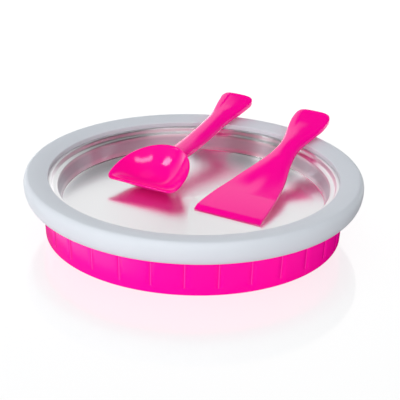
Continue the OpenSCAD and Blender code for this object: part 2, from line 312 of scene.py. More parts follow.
def plastic(name, colour, deep, rough, specular, grain=0.00002, grain_scale=900, tint=(1, 1, 1),
            glow=0.0):
    """Moulded plastic: a faint drift of colour, uneven gloss and a fine moulded grain. glow adds
    painted light: an even emission in the plastic's own colour, which brightens it past what
    the lamps give."""
    mat, tree, bsdf = new_material(name)
    bsdf.inputs["Specular Tint"].default_value = (*tint, 1)
    bsdf.inputs["Emission Color"].default_value = (*colour, 1)
    bsdf.inputs["Emission Strength"].default_value = glow
    drift = noise(tree, scale=14, detail=2)
    tree.links.new(set_mix(tree, drift, colour, deep), bsdf.inputs["Base Color"])
    wear = noise(tree, scale=60, detail=4)
    tree.links.new(ramp(tree, wear, rough * 0.85, rough * 1.15), bsdf.inputs["Roughness"])
    bsdf.inputs["Specular IOR Level"].default_value = specular
    bump(tree, bsdf, noise(tree, scale=grain_scale, detail=3), grain)
    return mat


# Colours painted into the tub's grooves: a paler pink as a painted highlight, a darker pink as
# painted shade.
GROOVE_PAINTED_HIGHLIGHT = (1.0, 0.035, 0.42)
GROOVE_PAINTED_SHADE = (0.8, 0.0, 0.28)

# Fades of the painted highlight and painted shade in the grooves: start, end, value before and
# value after. The first three run over the millimetres from a groove's middle, the last over
# metres of height.
HIGHLIGHT_END = 0.4, 0.7, 1, 0
SHADE_START = 0.5, 0.8, 0, 1
SHADE_END = 1.1, 1.5, 1, 0
GROOVE_FOOT = (GROOVE_Z - 1) * MM, GROOVE_Z * MM, 0, 1


def paint_groove_light_and_shade(mat):
    """Painted highlight in a paler pink down the bottom of each groove of the tub, and painted
    shade in a darker pink at its edges.
    """
    tree = mat.node_tree
    base = tree.nodes["Principled BSDF"].inputs["Base Color"]
    plain = base.links[0].from_socket
    coord = add(tree, "ShaderNodeTexCoord")
    x, y, z = split_axes(tree, coord.outputs["Object"])
    turns = product(tree, maths(tree, "ARCTAN2", y, x), GROOVES / (2 * math.pi))
    place = maths(tree, "FRACT", maths(tree, "SUBTRACT", turns, GROOVE_TURN * GROOVES / 360))
    off_half = maths(tree, "ABSOLUTE", maths(tree, "SUBTRACT", place, 0.5))
    away = maths(tree, "SUBTRACT", 0.5, off_half)
    across = product(tree, away, 2 * math.pi / GROOVES * TUB_FOOT_R)
    high = fade(tree, z, *GROOVE_FOOT)
    # middle masks the painted highlight, edge the painted shade.
    middle = product(tree, fade(tree, across, *HIGHLIGHT_END), high)
    edge = product(tree, fade(tree, across, *SHADE_START), fade(tree, across, *SHADE_END), high)
    with_painted_shade = set_mix(tree, edge, plain, GROOVE_PAINTED_SHADE)
    tree.links.new(set_mix(tree, middle, with_painted_shade, GROOVE_PAINTED_HIGHLIGHT), base)


WALL_GREY = (0.67, 0.69, 0.72)
SATIN_DRIFT = 0.03

# Fades over the plate's radius, in metres.
WALL_START = (FLOOR_R + 0.5) * MM, (FLOOR_R + 1.3) * MM, 0, 1
WALL_END = (LEDGE_R - 1) * MM, (LEDGE_R - 0.3) * MM, 1, 0
SATIN = (FLOOR_R - 1) * MM, (FLOOR_R + 0.5) * MM, 0.2, 0.3


def aluminium(name):
    """Spun satin aluminium: fine lathe rings about the axis, in gloss and in relief. Outside the
    floor it is rougher, and the drawn wall between floor and ledge is also duller."""
    mat, tree, bsdf = new_material(name)
    coord = add(tree, "ShaderNodeTexCoord")
    flat = add(tree, "ShaderNodeVectorMath", operation="MULTIPLY")
    flat.inputs[1].default_value = (1, 1, 0)
    tree.links.new(coord.outputs["Object"], flat.inputs[0])
    radius = vector_length(tree, flat.outputs[0])
    rings = add(tree, "ShaderNodeCombineXYZ")
    tree.links.new(radius, rings.inputs["X"])
    fine = noise(tree, scale=2600, detail=2, rough=0.6, vector=rings.outputs[0])
    cloud = noise(tree, scale=9, detail=3)
    sheet = set_mix(tree, cloud, (0.89, 0.89, 0.905), (0.92, 0.92, 0.93))
    dull = product(tree, fade(tree, radius, *WALL_START), fade(tree, radius, *WALL_END))
    tree.links.new(set_mix(tree, dull, sheet, WALL_GREY), bsdf.inputs["Base Color"])
    tree.links.new(ramp(tree, dull, low=0.97, high=0.8), bsdf.inputs["Metallic"])
    satin = fade(tree, radius, *SATIN)
    drift = ramp(tree, fine, -SATIN_DRIFT, SATIN_DRIFT)
    tree.links.new(maths(tree, "ADD", satin, drift), bsdf.inputs["Roughness"])
    bsdf.inputs["Anisotropic"].default_value = 0.82
    bsdf.inputs["Anisotropic Rotation"].default_value = 0.25
    round_axis = add(tree, "ShaderNodeTangent", direction_type="RADIAL", axis="Z")
    tree.links.new(round_axis.outputs[0], bsdf.inputs["Tangent"])
    bump(tree, bsdf, fine, distance=0.000001)
    return mat


def soft_ring(name):
    """Soft-touch elastomer: matte, with a very fine grain and a faint bloom."""
    mat, tree, bsdf = new_material(name)
    drift = noise(tree, scale=22, detail=3)
    greys = set_mix(tree, drift, (0.68, 0.71, 0.755), (0.71, 0.74, 0.785))
    tree.links.new(greys, bsdf.inputs["Base Color"])
    wear = noise(tree, scale=120, detail=4)
    tree.links.new(ramp(tree, wear, low=0.46, high=0.56), bsdf.inputs["Roughness"])
    bsdf.inputs["Specular IOR Level"].default_value = 0.35
    bsdf.inputs["Sheen Weight"].default_value = 0.08
    bsdf.inputs["Sheen Roughness"].default_value = 0.4
    bump(tree, bsdf, noise(tree, scale=1800, detail=2), distance=0.00002)
    return mat


def steel(name):
    """Bare rolled steel, with a fine grain in colour, gloss and relief."""
    mat, tree, bsdf = new_material(name)
    bsdf.inputs["Metallic"].default_value = 1.0
    grain = noise(tree, scale=700, detail=3)
    greys = set_mix(tree, grain, (0.55, 0.56, 0.58), (0.62, 0.63, 0.65))
    tree.links.new(greys, bsdf.inputs["Base Color"])
    tree.links.new(ramp(tree, grain, low=0.28, high=0.4), bsdf.inputs["Roughness"])
    bump(tree, bsdf, grain, distance=0.00001)
    return mat


# The pinks get painted light: a faint, even glow in their own colour.
TUB_PINK = plastic("tub_pink", (1.0, 0.0, 0.345), (0.97, 0.0, 0.33), rough=0.22, specular=0.4,
                   tint=(1, 0.7, 0.9), glow=0.2)
# Paints a highlight and shade into the tub's grooves.
paint_groove_light_and_shade(TUB_PINK)
TOOL_PINK = plastic("tool_pink", (1.0, 0.0, 0.30), (0.97, 0.0, 0.285), rough=0.1, specular=0.5,
                    tint=(1, 0.8, 0.9), glow=0.16)
RING_GREY = soft_ring("ring_grey")
PLATE_METAL = aluminium("plate_aluminium")
PAD_RUBBER = plastic("pad_rubber", (0.02, 0.02, 0.022), (0.03, 0.03, 0.033), rough=0.7,
                     specular=0.4, grain=0.00005, grain_scale=500)
SEAL_RUBBER = plastic("seal_rubber", (0.03, 0.03, 0.035), (0.05, 0.05, 0.055), rough=0.55,
                      specular=0.4)
TANK_PLASTIC = plastic("tank_plastic", (0.78, 0.8, 0.82), (0.72, 0.75, 0.78), rough=0.45,
                       specular=0.4)
PLUG_PLASTIC = plastic("plug_plastic", (0.68, 0.7, 0.72), (0.6, 0.63, 0.66), rough=0.4,
                       specular=0.4)
FOAM = plastic("foam", (0.86, 0.83, 0.7), (0.75, 0.71, 0.58), rough=0.85, specular=0.2,
               grain=0.0002, grain_scale=420)
GEL = plastic("gel", (0.3, 0.55, 0.8), (0.24, 0.48, 0.75), rough=0.2, specular=0.5,
              grain=0.0001, grain_scale=60)
CLAMP_STEEL = steel("clamp_steel")


# ---------------------------------------------------------------- the round pieces
def ring_top(r):
    """Height of the rim ring's crowned top, which rises from its lip to its highest circle."""
    run = CROWN_R - LIP_R - LIP_ROUND
    return LIP_Z + CROWN_H * math.sin(math.pi / 2 * (r - LIP_R - LIP_ROUND) / run)


def tub_r(z):
    """Radius of the tub's leaning outer face."""
    return TUB_FOOT_R + TUB_LEAN * (z - FOOT_Z)


def make_rim_ring():
    """The soft ring, with the channel inside that fits over the clamp ring."""
    clamp_r = RING_R - RING_WALL
    clamp_top = FLANGE_Z + CLAMP_T + GAP
    clamp_foot = TUB_LIP_Z - CLAMP_T - GAP
    cover_r = STACK_R - CLAMP_COVER - GAP
    profile = [(LIP_R, LIP_Z - LIP_T)]
    profile += arc(LIP_R + LIP_ROUND, LIP_Z - LIP_ROUND, LIP_ROUND, LIP_ROUND, 180, 90, 10)
    crown = np.linspace(LIP_R + LIP_ROUND, CROWN_R, 22)[1:]
    profile += [(r, ring_top(r)) for r in crown]
    profile += arc(CROWN_R, WIDEST_Z, SHOULDER_W, SHOULDER_H, 90, 0, 18)[1:]
    profile += arc(RING_R - TUCK_W, WIDEST_Z, TUCK_W, WIDEST_Z - FOOT_Z, 0, -90, 24)[1:]
    profile += [(tub_r(FOOT_Z) + GAP, FOOT_Z), (tub_r(clamp_foot) + GAP, clamp_foot),
                (clamp_r, clamp_foot), (clamp_r, clamp_top), (cover_r, clamp_top),
                (cover_r, LIP_Z - LIP_T)]
    return revolve("rim_ring_shell", profile, RING_GREY, sharp_deg=40)


def rounded(path, radius, steps=6):
    """Rounds the inner corners of an open path of (r, z) points. A rounding takes less than
    half of each side next to it."""
    longest = 0.48
    out = [path[0]]
    for before, corner, after in zip(path, path[1:], path[2:]):
        a, b, c = (np.array(p, float) for p in (before, corner, after))
        u, v = a - b, c - b
        u /= np.linalg.norm(u)
        v /= np.linalg.norm(v)
        half = math.acos(max(-1, min(1, float(u @ v)))) / 2
        run = radius / math.tan(half)
        run = min(run, longest * np.linalg.norm(a - b), longest * np.linalg.norm(c - b))
        r = run * math.tan(half)
        mid = (u + v) / np.linalg.norm(u + v)
        centre = b + mid * r / math.sin(half)
        start, end = b + u * run - centre, b + v * run - centre
        a0, a1 = math.atan2(start[1], start[0]), math.atan2(end[1], end[0])
        turn = (a1 - a0 + math.pi) % (2 * math.pi) - math.pi
        for i in range(steps + 1):
            a = a0 + turn * i / steps
            out.append((centre[0] + r * math.cos(a), centre[1] + r * math.sin(a)))
    out.append(path[-1])
    return out


def offset_path(path, distance):
    """Moves an open path sideways by a distance, at its own points."""
    pts = np.array(path, float)
    tangent = np.gradient(pts, axis=0)
    tangent /= np.linalg.norm(tangent, axis=1)[:, None]
    normal = np.stack([tangent[:, 1], -tangent[:, 0]], 1)
    return [tuple(p) for p in pts + normal * distance]


def make_plate():
    """The pressed pan: floor, sloped wall, ledge, step and flat, all of one thickness."""
    corners = [(0, FLOOR_Z), (FLOOR_R, FLOOR_Z), (LEDGE_R, LEDGE_Z),
               (FLAT_R - STEP_SLOPE, LEDGE_Z), (FLAT_R, FLANGE_Z), (STACK_R, FLANGE_Z)]
    floor = [(r, FLOOR_Z) for r in np.linspace(0, FLOOR_R - 6, 14)]
    wall = rounded(corners, BEND_R)[1:]
    under_floor = [(r, z - PLATE_T) for r, z in floor]
    under_wall = offset_path([floor[-1]] + wall, PLATE_T)[1:]
    profile = floor + wall + (under_floor + under_wall)[::-1]
    return revolve("freezing_plate_pan", profile, PLATE_METAL, sharp_deg=50)


def groove_angles():
    """Angles round the tub, close together across each groove."""
    half = math.degrees(GROOVE_R / TUB_NEAR_R)
    period = 360 / GROOVES
    fine = np.linspace(-half, half, 9)
    coarse = np.linspace(half, period - half, 8)[1:-1]
    out = []
    for i in range(GROOVES):
        start = GROOVE_TURN + i * period
        out += [start + d for d in fine] + [start + d for d in coarse]
    return np.radians(out)


def groove_cut(r, z, a):
    """Radius of the tub's outer face, lowered in each groove. A groove has a round section and
    a round lower end. Points inside the outer face stay."""
    slack = 0.05
    if r < tub_r(z) - slack or z > GROOVE_TOP_Z or z < GROOVE_Z - GROOVE_R:
        return r
    period = 2 * math.pi / GROOVES
    side = (a - math.radians(GROOVE_TURN) + period / 2) % period - period / 2
    across = side * r
    below = max(0.0, GROOVE_Z - z)
    reach = math.hypot(across, below)
    if reach >= GROOVE_R:
        return r
    out = GROOVE_R - GROOVE_DEPTH
    return r - max(0.0, math.sqrt(GROOVE_R ** 2 - reach ** 2) - out)


def make_tub():
    """The outer tub, with the recess for the pad under it and the flange at its top."""
    lean = math.degrees(math.atan(TUB_LEAN))
    corner = tub_r(TUB_Z) - TUB_EDGE_R
    profile = [(0, PAD_T), (PAD_R + GAP, PAD_T), (PAD_R + GAP, TUB_Z)]
    profile += [(r, TUB_Z) for r in np.linspace(PAD_R + 4, corner, 5)]
    profile += arc(corner, TUB_Z + TUB_EDGE_R, TUB_EDGE_R, TUB_EDGE_R, -90, -lean, 10)[1:]
    start = profile[-1][1]
    levels = [z for z in np.linspace(GROOVE_Z - GROOVE_R, GROOVE_Z, 7) if z > start]
    levels += list(np.linspace(GROOVE_Z, GROOVE_TOP_Z - 1, 12)[1:])
    levels += [GROOVE_TOP_Z + 0.2, TUB_LIP_Z]
    profile += [(tub_r(z), z) for z in levels]
    profile += [(STACK_R, TUB_LIP_Z), (STACK_R, TUB_TOP_Z)]
    floor_z = TUB_Z + TUB_WALL
    profile += [(tub_r(TUB_TOP_Z) - TUB_WALL, TUB_TOP_Z), (tub_r(floor_z) - TUB_WALL, floor_z)]
    profile += [(0, floor_z)]
    return revolve("tub_shell", profile, TUB_PINK, groove_angles(), groove_cut, sharp_deg=50)


def make_pad():
    """The pad's underside has shallow channels round it, so that it grips."""
    profile = [(0, PAD_T), (PAD_R, PAD_T)]
    profile += arc(PAD_R - PAD_EDGE_R, PAD_EDGE_R, PAD_EDGE_R, PAD_EDGE_R, 0, -90, 4)
    for r in np.linspace(FIRST_CHANNEL_R, LAST_CHANNEL_R, CHANNELS):
        profile += [(r + CHANNEL_R, 0), (r + CHANNEL_ROOF_R, CHANNEL_H),
                    (r - CHANNEL_ROOF_R, CHANNEL_H), (r - CHANNEL_R, 0)]
    profile += [(0, 0)]
    return revolve("non_slip_pad_disc", profile, PAD_RUBBER, sharp_deg=30)


finish_piece(make_rim_ring(), "base", "rim_ring")
finish_piece(make_plate(), "base", "freezing_plate")
finish_piece(make_tub(), "base", "base_tub")
finish_piece(make_pad(), "base", "non_slip_pad")

CAD_LOOKS = {
    "insulating_foam": FOAM, "gel_tank": TANK_PLASTIC, "freezing_gel": GEL,
    "fill_plug": PLUG_PLASTIC, "plug_seal": SEAL_RUBBER, "flange_gasket": SEAL_RUBBER,
    "clamp_ring": CLAMP_STEEL,
}
for node_name, look in CAD_LOOKS.items():
    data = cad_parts[node_name].data
    data.materials.clear()
    data.materials.append(look)


# ---------------------------------------------------------------- the tools
# Each tool is drawn along x, from its edge on the pan's floor to the end of its tail, with y
# across it and z up. Its handle crosses the ring's lip at x = reach, and e is counted from
# there. The handle widens from e = start to end, rises by slope and curl beyond the lip, and
# stops at tail. cross is the angle of that crossing round the ring, and turn the tool's own.
NECK_W, NECK_T = 21.2, 12.0
TAIL_W, TAIL_T = 37.4, 10.35
TAIL_CORNER = 8.5
TAIL_END = 9
SIDE_T = 1.6
SEAT_R = LIP_R + LIP_ROUND
SEAT_RISE = LIP_Z + GAP - FLOOR_Z
THUMB_DEPTH = 0.35
THUMB_SIDE = 0.55
THUMB_END = 4.2

SCRAPER = dict(tail=35.3, start=-24, end=24, slope=0.125, curl=0.0011,
               turn=60.8, cross=40.3, reach=148.6)
SCOOP = dict(tail=38.5, start=-14, end=44, slope=0.05, curl=0.001,
             turn=60.0, cross=78.9, reach=152.8)


def flare(h, e):
    """Share of the widening from neck to tail that a handle h has at e."""
    return smooth((e - h["start"]) / (h["end"] - h["start"]))


def corner_cut(h, e, r):
    """What a rounding of radius r at the end of the tail takes off at e."""
    d = min(r, h["tail"] - e)
    return r - math.sqrt(max(0.0, r * r - (r - d) ** 2))


def handle_half(h, e):
    """Half the width of a handle."""
    return (NECK_W + (TAIL_W - NECK_W) * flare(h, e)) / 2 - corner_cut(h, e, TAIL_CORNER)


def handle_t(h, e):
    """Thickness of a handle."""
    return NECK_T + (TAIL_T - NECK_T) * flare(h, e) - 2 * corner_cut(h, e, TAIL_T / 3)


def handle_rise(h, e):
    """Rise of a tail's underside above the line from the tool's edge through the ring's lip."""
    return e * h["slope"] + e * e * h["curl"]


def dish(h, e, s):
    """Shallow thumb rest in the upper face of a tail, at e along it and s, from -1 to 1, across
    it. It ends before the side at s = 1."""
    across = smooth((THUMB_SIDE - s) / 0.12)
    start = smooth((e - 2) / 14)
    end = smooth((h["tail"] - THUMB_END - e) / 1.6)
    return -THUMB_DEPTH * across * start * end


def lay_across(h, point):
    """Takes a point of a tool (along, across, height) to its place in the pan."""
    turn, cross = math.radians(h["turn"]), math.radians(h["cross"])
    x, y, z = point[0] - h["reach"], point[1], point[2]
    return (SEAT_R * math.cos(cross) + x * math.cos(turn) - y * math.sin(turn),
            SEAT_R * math.sin(cross) + x * math.sin(turn) + y * math.cos(turn),
            FLOOR_Z + GAP + z)


def tail_places(h, start):
    """Places of the sections from start to the end of a tail, closer together at its end."""
    tail = h["tail"]
    rounding = [tail - TAIL_END * (1 - math.sin(a)) for a in np.linspace(0.05, math.pi / 2, 14)]
    return list(np.arange(start, tail - TAIL_END, 1.5)) + rounding


COLUMNS = 56


def section(x, half, low, high, side, edge, power, relief):
    """Closed section, underside first. side is the height of its flat sides, edge the radius
    of their corners, power the fullness of its faces, and relief(y) adds to the upper one."""
    mid = low + (high - low) * 0.5
    bulge = (high - low - side) / 2
    inner = half - edge
    columns = [-inner * math.cos(math.pi * j / COLUMNS) for j in range(COLUMNS + 1)]

    def face(y):
        s = min(1.0, abs(y) / half)
        return side / 2 + bulge * max(0.0, 1 - s ** power) ** (1 / power)

    corner = [(math.sin(a), 1 - math.cos(a)) for a in np.radians([22, 45, 67, 90])]
    down = [(y, mid - face(y)) for y in columns]
    up = [(y, mid + face(y) + relief(y)) for y in columns]
    right_low = [(inner + edge * s, down[-1][1] + edge * c) for s, c in corner]
    right_high = [(inner + edge * s, up[-1][1] - edge * c) for s, c in corner][::-1]
    left_high = [(-inner - edge * s, up[0][1] - edge * c) for s, c in corner]
    left_low = [(-inner - edge * s, down[0][1] + edge * c) for s, c in corner][::-1]
    ring = left_low + down + right_low + right_high + up[::-1] + left_high
    return [(x, y, z) for y, z in ring]


def handle_power(e):
    """Fullness of a handle's faces, which are flatter in the tail."""
    return 2 + smooth(e / 20)


# Scraper
BLADE_W, BLADE_T = 67.0, 2.8
BLADE_LEN = 124.0
BEVEL, EDGE_T = 5.0, 0.8
BLADE_ROUND = 0.55
NOSE, NOSE_END = 39.0, 103.0
NOSE_LEAD = 6
CROWN_EDGE, CROWN_FADE = 7, 16

# Knots for curve(): the blade's spread beyond the neck, as shares of its length and width, and
# the height of its underside above the line from its edge to the ring's lip.
SPREAD = [(0, 1, -0.2), (0.5, 0.62, -1.1), (1, 0, -0.2)]
BLADE_ARCH = [(0, 0, 0), (40, -0.9, -0.055), (92, -4.9, -0.03),
              (SCRAPER["reach"] - 25, -2.6, 0.12), (SCRAPER["reach"], 0, 0.12)]


def nose_rise(x, start, crisp):
    """Growth of the handle out of the blade, from start; crisp is the share that starts sharply."""
    t = min(1, max(0, (x - start) / (NOSE_END - start)))
    return crisp * t + (1 - crisp) * smooth(t)


def scraper_section(x):
    """Section of the scraper. The handle rises out of the blade as a nose. The crown on it fades
    out towards +y."""
    e = x - SCRAPER["reach"]
    spread = curve(SPREAD, x / BLADE_LEN) if x < BLADE_LEN else 0
    half = handle_half(SCRAPER, e) + spread * (BLADE_W - NECK_W) / 2
    nose = nose_rise(x, NOSE + NOSE_LEAD, crisp=0)
    crown = (NECK_T - BLADE_T) * (nose_rise(x, NOSE, crisp=0.5) - nose)
    plain = EDGE_T + (BLADE_T - EDGE_T) * min(1, x / BEVEL)
    thick = plain + (handle_t(SCRAPER, e) - BLADE_T) * nose
    side = plain + (SIDE_T - BLADE_T) * nose
    rise = x * SEAT_RISE / SCRAPER["reach"]
    low = rise + (curve(BLADE_ARCH, x) if e < 0 else handle_rise(SCRAPER, e))
    edge = min(BLADE_ROUND, plain * 0.45) * (1 - nose)

    def relief(y):
        return dish(SCRAPER, e, y / half) + crown * smooth((CROWN_EDGE - y) / CROWN_FADE)

    ring = section(x, half, low, low + thick, side, edge, handle_power(e), relief)
    return [lay_across(SCRAPER, p) for p in ring]


def make_scraper():
    """Sections lie close together at the edge, the bevel and the start of the nose."""
    places = [0, 0.15, 0.4, 1.5, 3.2, BEVEL - 0.2, BEVEL, BEVEL + 0.2, 6]
    places += list(np.arange(8, NOSE - 1, 2.0))
    places += [NOSE - 0.4, NOSE, NOSE + 0.4]
    places += list(np.arange(NOSE + 1.5, BLADE_LEN, 1.8))
    places += [SCRAPER["reach"] + e for e in tail_places(SCRAPER, BLADE_LEN - SCRAPER["reach"])]
    return skin("scraper_body", [scraper_section(x) for x in places], TOOL_PINK, sharp_deg=28)


# Scoop
BOWL_W = 76.0
BOWL_LEN = 57.0
BOWL_MID = 14.0
BOWL_CORNER = 6.0
BOWL_DEPTH = 21.0
BOWL_DEEP = 30.0
BOWL_TILT = math.radians(19.5)
BOWL_WALL = 2.2
BACK_POWER = 2.6
INNER_POWER, OUTER_POWER = 2.7, 3
RIM_T = 1.4
LIP_FLAT = 1.9
LIP_ROUND_LEN, LIP_ROUND_H = 0.7, 0.6
LIP_EASE = 1.2
NARROWEST = 0.02
BOWL_COLUMNS = 40


def hollow(x, start, end):
    """Depth of a hollow from start to end, as a share of its deepest, which lies at BOWL_DEEP."""
    if x <= start or x >= end:
        return 0.0
    if x < BOWL_DEEP:
        return math.sin(math.pi / 2 * (x - start) / (BOWL_DEEP - start))
    return 1 - ((x - BOWL_DEEP) / (end - BOWL_DEEP)) ** BACK_POWER


def bowl_half(x):
    """Half the width of the bowl, widest at BOWL_MID, with rounded corners at the lip."""
    d = min(x, BOWL_CORNER)
    wide = BOWL_W / 2 * math.sqrt(max(0, 1 - ((x - BOWL_MID) / (BOWL_LEN - BOWL_MID)) ** 2))
    return wide - BOWL_CORNER + math.sqrt(BOWL_CORNER ** 2 - (BOWL_CORNER - d) ** 2)


def bowl_halves(x):
    """Half the widths of the bowl's outer and inner faces, never quite nothing."""
    outer = max(bowl_half(x), NARROWEST)
    return outer, max(outer - BOWL_WALL, NARROWEST / 2)


def bowl_under(x):
    """Height of the bowl's keel, counted from the front of the rim."""
    return x * math.tan(BOWL_TILT) - RIM_T - (BOWL_DEPTH - RIM_T) * hollow(x, 0, BOWL_LEN)


RIM_H = -min(bowl_under(x) for x in np.linspace(0, BOWL_LEN, 400))
STEM_ROOT = BOWL_LEN - 15
STEM_START = BOWL_LEN - 0.8
STEM_TUCK = 0.1

# Knots for curve(): the height of the stem's underside above the line from the bowl's deepest
# place to the ring's lip.
STEM_ARCH = [(STEM_ROOT, 11, -0.22), (75, 4.6, -0.16), (105, 1.2, -0.06),
             (SCOOP["reach"], 0, 0.03)]


def stem_under(x):
    """Height of the underside of the stem and its tail."""
    e = x - SCOOP["reach"]
    rise = (x - BOWL_DEEP) * SEAT_RISE / (SCOOP["reach"] - BOWL_DEEP)
    return rise + (curve(STEM_ARCH, x) if e < 0 else handle_rise(SCOOP, e))


def lip_round(x):
    """Drop of the lip's rounded front edge below the rim, at x behind it."""
    away = max(0.0, 1 - x / LIP_ROUND_LEN)
    return LIP_ROUND_H * (1 - math.sqrt(1 - away * away))


def eased(x):
    """Rounds the inner edge of the lip, where the hollow starts."""
    past = x - LIP_FLAT
    return LIP_FLAT + (past * past / (2 * LIP_EASE) if past < LIP_EASE else past - LIP_EASE / 2)


def bowl_point(x, s, inside):
    """A point of the bowl's inner or outer face; s runs from -1 to 1 across it."""
    outer_half, inner_half = bowl_halves(x)
    rim = RIM_H + x * math.tan(BOWL_TILT)
    if inside:
        trough = 1 - abs(s) ** INNER_POWER
        place = x if x < LIP_FLAT or x > BOWL_DEEP else eased(x)
        shallow = (BOWL_DEPTH - BOWL_WALL) * hollow(place, LIP_FLAT, BOWL_LEN - BOWL_WALL)
        return (x, s * inner_half, rim - lip_round(x) - shallow * trough)
    trough = 1 - abs(s) ** OUTER_POWER
    deep = (BOWL_DEPTH - RIM_T) * hollow(x, 0, BOWL_LEN)
    return (x, s * outer_half, rim - RIM_T - deep * trough)


RIM_ROUND = [(0.0, 0.75), (0.12, 0.4), (0.4, 0.12), (0.8, 0.0), (1.7, 0.0)]


def rim_point(x, side, inset, drop):
    """A point of the rounded rim, at an inset from its outer edge and a drop below its top."""
    half = bowl_halves(x)[0]
    share = min(1.0, half / BOWL_WALL)
    rim = RIM_H + x * math.tan(BOWL_TILT)
    return (x, side * (half - inset * share), rim - max(drop, lip_round(x)))


def make_bowl():
    """Sections lie close together at the lip and at the back."""
    places = [0, 0.06, 0.15, 0.3, 0.5, 0.8, RIM_T] + [LIP_FLAT + d for d in (0, 0.3, 0.6, 0.9)]
    places += list(BOWL_DEEP * (1 - np.cos(np.radians(np.linspace(16, 90, 18)))))
    back = BOWL_LEN - BOWL_WALL - BOWL_DEEP
    places += [BOWL_DEEP + back * math.sin(a) for a in np.radians(np.linspace(5, 90, 18))]
    places += [BOWL_LEN - 1.4, BOWL_LEN - 0.7, BOWL_LEN - 0.2]
    columns = [-math.cos(math.pi * j / BOWL_COLUMNS) for j in range(BOWL_COLUMNS + 1)]
    sections = []
    for x in places:
        low = [bowl_point(x, s, False) for s in columns]
        high = [bowl_point(x, s, True) for s in columns[::-1]]
        right = [rim_point(x, 1, inset, drop) for inset, drop in RIM_ROUND]
        left = [rim_point(x, -1, inset, drop) for inset, drop in RIM_ROUND[::-1]]
        sections.append([lay_across(SCOOP, p) for p in low + right + high + left])
    return skin("scoop_bowl", sections, TOOL_PINK, sharp_deg=40)


def wall_middle(x, y):
    """Height of the middle of the bowl's wall, which hides the root of the stem."""
    outer_half, inner_half = bowl_halves(x)
    inner = bowl_point(x, min(1.0, abs(y) / inner_half), True)
    outer = bowl_point(x, min(1.0, abs(y) / outer_half), False)
    return (inner[2] + outer[2]) / 2


def stem_section(x):
    """Section of the stem. Its root runs on under the bowl and stays below the hollow."""
    e = x - SCOOP["reach"]
    low = stem_under(x)
    thick = handle_t(SCOOP, e)
    half = handle_half(SCOOP, e)

    def relief(y):
        return dish(SCOOP, e, y / half)

    def tucked(y, z):
        below = STEM_TUCK if z < low + thick / 2 else 0
        return min(z, wall_middle(x, y) - below)

    ring = section(x, half, low, low + thick, SIDE_T, 0.0, handle_power(e), relief)
    if x < STEM_START:
        ring = [(x, y, tucked(y, z)) for _, y, z in ring]
    return [lay_across(SCOOP, p) for p in ring]


def make_scoop():
    """The bowl and the stem, joined as one piece."""
    bowl = make_bowl()
    places = list(np.arange(STEM_ROOT, STEM_START - 0.5, 1.0)) + [STEM_START - 0.05]
    places += [SCOOP["reach"] + e for e in tail_places(SCOOP, STEM_START - SCOOP["reach"])]
    stem = skin("scoop_stem", [stem_section(x) for x in places], TOOL_PINK, sharp_deg=28)
    bpy.ops.object.select_all(action="DESELECT")
    stem.select_set(True)
    bowl.select_set(True)
    bpy.context.view_layer.objects.active = bowl
    bpy.ops.object.join()
    bowl.name = "scoop_body"
    return bowl


finish_piece(make_scraper(), "scraper", "scraper")
finish_piece(make_scoop(), "scoop", "scoop")


# ---------------------------------------------------------------- floor, light and camera
FLOOR_HALF = 6.0
FLOOR_GLOW = 0.775
LENS_MM = 108
SENSOR_MM = 36

# Fades of the painted glow that shiny surfaces see on the floor, the last one painted shade near
# the object: x as a share of the radius, then y and the radius in metres.
FLOOR_LEFT = -0.62, -0.24, 1.2, 0.0
FLOOR_BEHIND = 0.05, 0.25, 0.0, 2.2
FLOOR_NEAR_SHADE = 0.149, 0.166, 0.1, 1

# Fades over the sky: the direction's x (right), y (away from the camera) or z (up), -1 to 1.
SKY_UP = 0.2, 0.95, 0.5, 0.87
SKY_RIGHT = 0.1, 0.9, 1, 0.6
SHEET_UP = 0.62, 0.74, 1, 0
SHEET_BACK = -0.15, 0.45, 0, 1
SHEET_RIGHT = 0.1, 0.7, 1, 0.15
HORIZON_UP = 0.08, 0.3, 1.8, 0
FRONT_BACK = -0.75, -0.25, 1, 0
FRONT_UP = 0.03, 0.3, 1, 0.18
CEILING_UP = 0.92, 0.97, 0, 0.22
SHEET_GLOW = 1.12
FRONT_GLOW = 0.7

# Fade over the number of shiny bounces: nearly dark in a first reflection, lighter in a second.
ROOM = 1.2, 1.8, 0.02, 0.35


def by_ray(tree, diffuse, glossy, camera):
    """One shader for the camera, one for what shiny surfaces see and one for all other rays."""
    path = add(tree, "ShaderNodeLightPath")
    unseen = add(tree, "ShaderNodeMixShader")
    whole = add(tree, "ShaderNodeMixShader")
    tree.links.new(path.outputs["Is Glossy Ray"], unseen.inputs[0])
    tree.links.new(diffuse.outputs[0], unseen.inputs[1])
    tree.links.new(glossy.outputs[0], unseen.inputs[2])
    tree.links.new(path.outputs["Is Camera Ray"], whole.inputs[0])
    tree.links.new(unseen.outputs[0], whole.inputs[1])
    tree.links.new(camera.outputs[0], whole.inputs[2])
    return whole.outputs[0]


